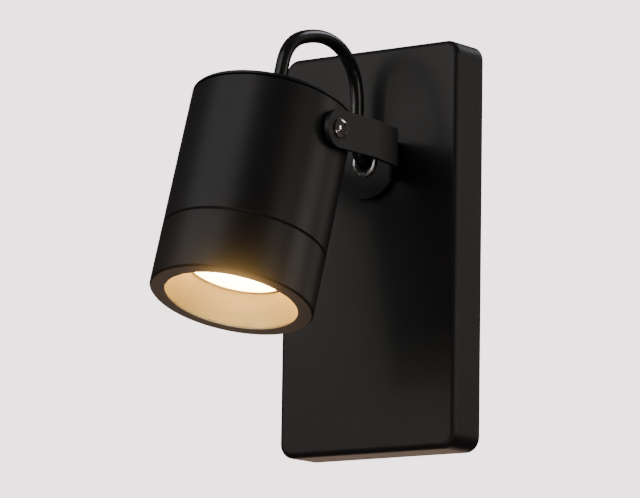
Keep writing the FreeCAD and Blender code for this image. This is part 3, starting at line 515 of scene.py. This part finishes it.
def moulded(name, colour, roughness, grain, height):
    finish = Finish(name)
    fine = finish.noise(grain, detail=3.0)
    broad = finish.noise(1.0 / (14 * MM), detail=3.0)
    darker = tuple(channel * 0.88 for channel in colour)
    finish.feed(Base_Color=finish.blend(broad, darker, colour),
                Roughness=fine * 0.16 + broad * 0.06 + (roughness - 0.11))
    finish.bump(fine, height)
    return finish


moulded("lamp_shell", (0.80, 0.80, 0.78), 0.42, FINE_GRAIN, 0.03 * MM).dress("lamp_body")
moulded("holder_ceramic", (0.84, 0.81, 0.74), 0.68, CERAMIC_GRAIN, 0.08 * MM).dress("lamp_holder")
moulded("terminal_plastic", (0.83, 0.81, 0.76), 0.50, FINE_GRAIN, 0.04 * MM).dress("terminal_block")
moulded("brown_wire", (0.19, 0.085, 0.04), 0.38, FINE_GRAIN, 0.02 * MM).dress("live_wire")
moulded("blue_wire", (0.05, 0.15, 0.48), 0.38, FINE_GRAIN, 0.02 * MM).dress("neutral_wire")
moulded("white_wire", (0.72, 0.70, 0.66), 0.45, FINE_GRAIN, 0.03 * MM).dress("holder_wires")

# %% [markdown]
# The earth wire is green with a yellow stripe. A stripe that winds round a wire
# needs an angle round it. A slanted wave through space gives nearly the same
# picture on a wire two millimetres thick, and needs no angle.

# %% Make the striped wire
WIRE_GREEN = (0.08, 0.30, 0.06)
WIRE_YELLOW = (0.75, 0.62, 0.04)


def striped_wire():
    finish = Finish("striped_wire", Roughness=0.38)
    wave = finish.node("ShaderNodeTexWave", {"bands_direction": "DIAGONAL"},
                       {"Vector": finish.place(), "Scale": 75.0, "Distortion": 0.4}, output="Fac")
    stripe = finish.ramp(wave, [(0.48, 0.0), (0.56, 1.0)])
    finish.feed(Base_Color=finish.blend(stripe, WIRE_GREEN, WIRE_YELLOW))
    finish.bump(finish.noise(FINE_GRAIN), 0.02 * MM)
    return finish


striped_wire().dress("earth_wire")

# %% [markdown]
# ## Floor and sky
#
# The light hangs in a plain studio with a pale floor well below it. Black paint
# shows mostly what it reflects, so a bright room would turn it grey. A Light Path
# node tells a ray from the camera from any other: the floor glows pale for the
# camera alone, and only the camera sees the pale sky. All other rays meet plain
# paint and a nearly dark sky.

# %% Lay the floor
FLOOR_HEIGHT = -2.6
FLOOR_HALF = 30.0
FLOOR_GLOW = 2.6


def pale_floor():
    corners = [(-FLOOR_HALF, -FLOOR_HALF), (FLOOR_HALF, -FLOOR_HALF),
               (FLOOR_HALF, FLOOR_HALF), (-FLOOR_HALF, FLOOR_HALF)]
    made = add_mesh("floor", [(x, y, FLOOR_HEIGHT) for x, y in corners], [(0, 1, 2, 3)], smooth=False)
    finish = Finish("floor_paint", Roughness=0.8, Specular_IOR_Level=0.2,
                    Emission_Strength=FLOOR_GLOW)
    paint = finish.blend(finish.noise(0.7), (0.66, 0.60, 0.61), (0.72, 0.66, 0.67))
    seen = finish.node("ShaderNodeLightPath", output="Is Camera Ray")
    glow = finish.node("ShaderNodeVectorMath", {"operation": "SCALE"}, {0: paint, "Scale": seen})
    finish.feed(Base_Color=paint, Emission_Color=glow)
    finish.dress("floor")


pale_floor()

# %% Paint the sky
SKY_COLOUR = (1.0, 0.875, 0.895, 1.0)
SEEN_SKY_STRENGTH = 3.3
DARK_SKY_STRENGTH = 0.045


def studio_sky():
    world = bpy.data.worlds.new("studio")
    world.use_nodes = True
    bpy.context.scene.world = world
    world.node_tree.nodes.clear()
    sky = Graph(world.node_tree)
    seen, dark = [sky.node("ShaderNodeBackground", None, {"Color": SKY_COLOUR, "Strength": strength})
                  for strength in (SEEN_SKY_STRENGTH, DARK_SKY_STRENGTH)]
    from_camera = sky.node("ShaderNodeLightPath", output="Is Camera Ray")
    chosen = sky.node("ShaderNodeMixShader", None, {0: from_camera, 1: dark, 2: seen})
    sky.node("ShaderNodeOutputWorld", None, {"Surface": chosen})


studio_sky()
print("sky:", SEEN_SKY_STRENGTH, "to the camera,", DARK_SKY_STRENGTH, "to everything else")

# %% [markdown]
# ## Soft panels
#
# Each sheen on the black paint is the mirror image of one soft panel. The band
# down the left of the head is the panel a little left of the front. The plate
# mirrors the head itself, which is why its middle is nearly black, and a small
# near panel above lights only its top. The panels on the right and behind the
# wall's plane draw the side of the box. A warm one on the left, low behind the
# wall's plane, stands for the wall that the lamp itself lights, which the bezel
# and the box's underside mirror. Two very small ones put sparks on the plated
# screws.

# %% Hang the soft panels
WARM = (1.0, 0.94, 0.85)
COOL = (0.92, 0.93, 1.0)
LAMP_WARM = (1.0, 0.70, 0.52)


def soft_panel(name, azimuth, elevation, distance, width, height, power, colour=WARM):
    """A rectangular light that faces the object; azimuth 0 is straight in front of the wall."""
    a, e = math.radians(azimuth), math.radians(elevation)
    way = Vector((math.sin(a) * math.cos(e), -math.cos(a) * math.cos(e), math.sin(e)))
    data = bpy.data.lights.new(name, "AREA")
    data.shape = "RECTANGLE"
    data.size, data.size_y = width, height
    data.energy = power
    data.color = colour
    lamp = bpy.data.objects.new(name, data)
    bpy.context.scene.collection.objects.link(lamp)
    lamp.location = way * distance
    lamp.rotation_euler = way.to_track_quat("Z", "Y").to_euler()


soft_panel("near_panel", -20, 28, 0.7, 0.7, 0.6, 0.62, COOL)
soft_panel("front_panel", -20, 8, 1.5, 0.6, 0.9, 2.25)
soft_panel("high_panel", 0, 45, 1.5, 0.5, 0.7, 1.2)
soft_panel("upper_left_panel", -37, 26, 1.5, 0.9, 0.8, 0.8)
soft_panel("left_panel", -60, 8, 1.5, 0.5, 0.7, 0.7)
soft_panel("right_panel", 80, 8, 1.5, 0.5, 0.7, 2.3)
soft_panel("right_back_panel", 120, 8, 1.5, 0.5, 0.7, 2.2)
soft_panel("back_panel", 160, 8, 1.5, 0.5, 0.7, 0.6)
soft_panel("high_back_panel", 160, 45, 1.5, 0.5, 0.7, 3.0, COOL)
soft_panel("floor_panel", 15, -32, 1.1, 0.7, 0.5, 0.9)
soft_panel("lit_wall_panel", -137, -20, 1.2, 1.0, 0.8, 2.4, LAMP_WARM)
soft_panel("left_spark", -28, 12, 1.5, 0.09, 0.09, 0.35)
soft_panel("right_spark", 62, -24, 1.5, 0.09, 0.09, 0.35)
print("lights:", [light.name for light in bpy.data.lights])

# %% [markdown]
# ## Glow round the lamp
#
# A camera that looks at a lit lens spreads a little of its light over the pixels
# beside it. A bloom filter on the finished picture does the same. It touches
# only what is brighter than white, so the black paint stays as it is.

# %% Add the bloom
BLOOM = {"Threshold": 6.0, "Strength": 0.14, "Size": 0.22, "Tint": (1.0, 0.78, 0.42, 1.0)}


def lens_bloom():
    bpy.context.scene.use_nodes = True
    tree = bpy.context.scene.node_tree
    tree.nodes.clear()
    darkroom = Graph(tree)
    picture = darkroom.node("CompositorNodeRLayers", output="Image")
    glowing = darkroom.node("CompositorNodeGlare", {"glare_type": "BLOOM"},
                            {"Image": picture, **BLOOM}, output="Image")
    darkroom.node("CompositorNodeComposite", None, {"Image": glowing})


lens_bloom()
print("bloom:", BLOOM)
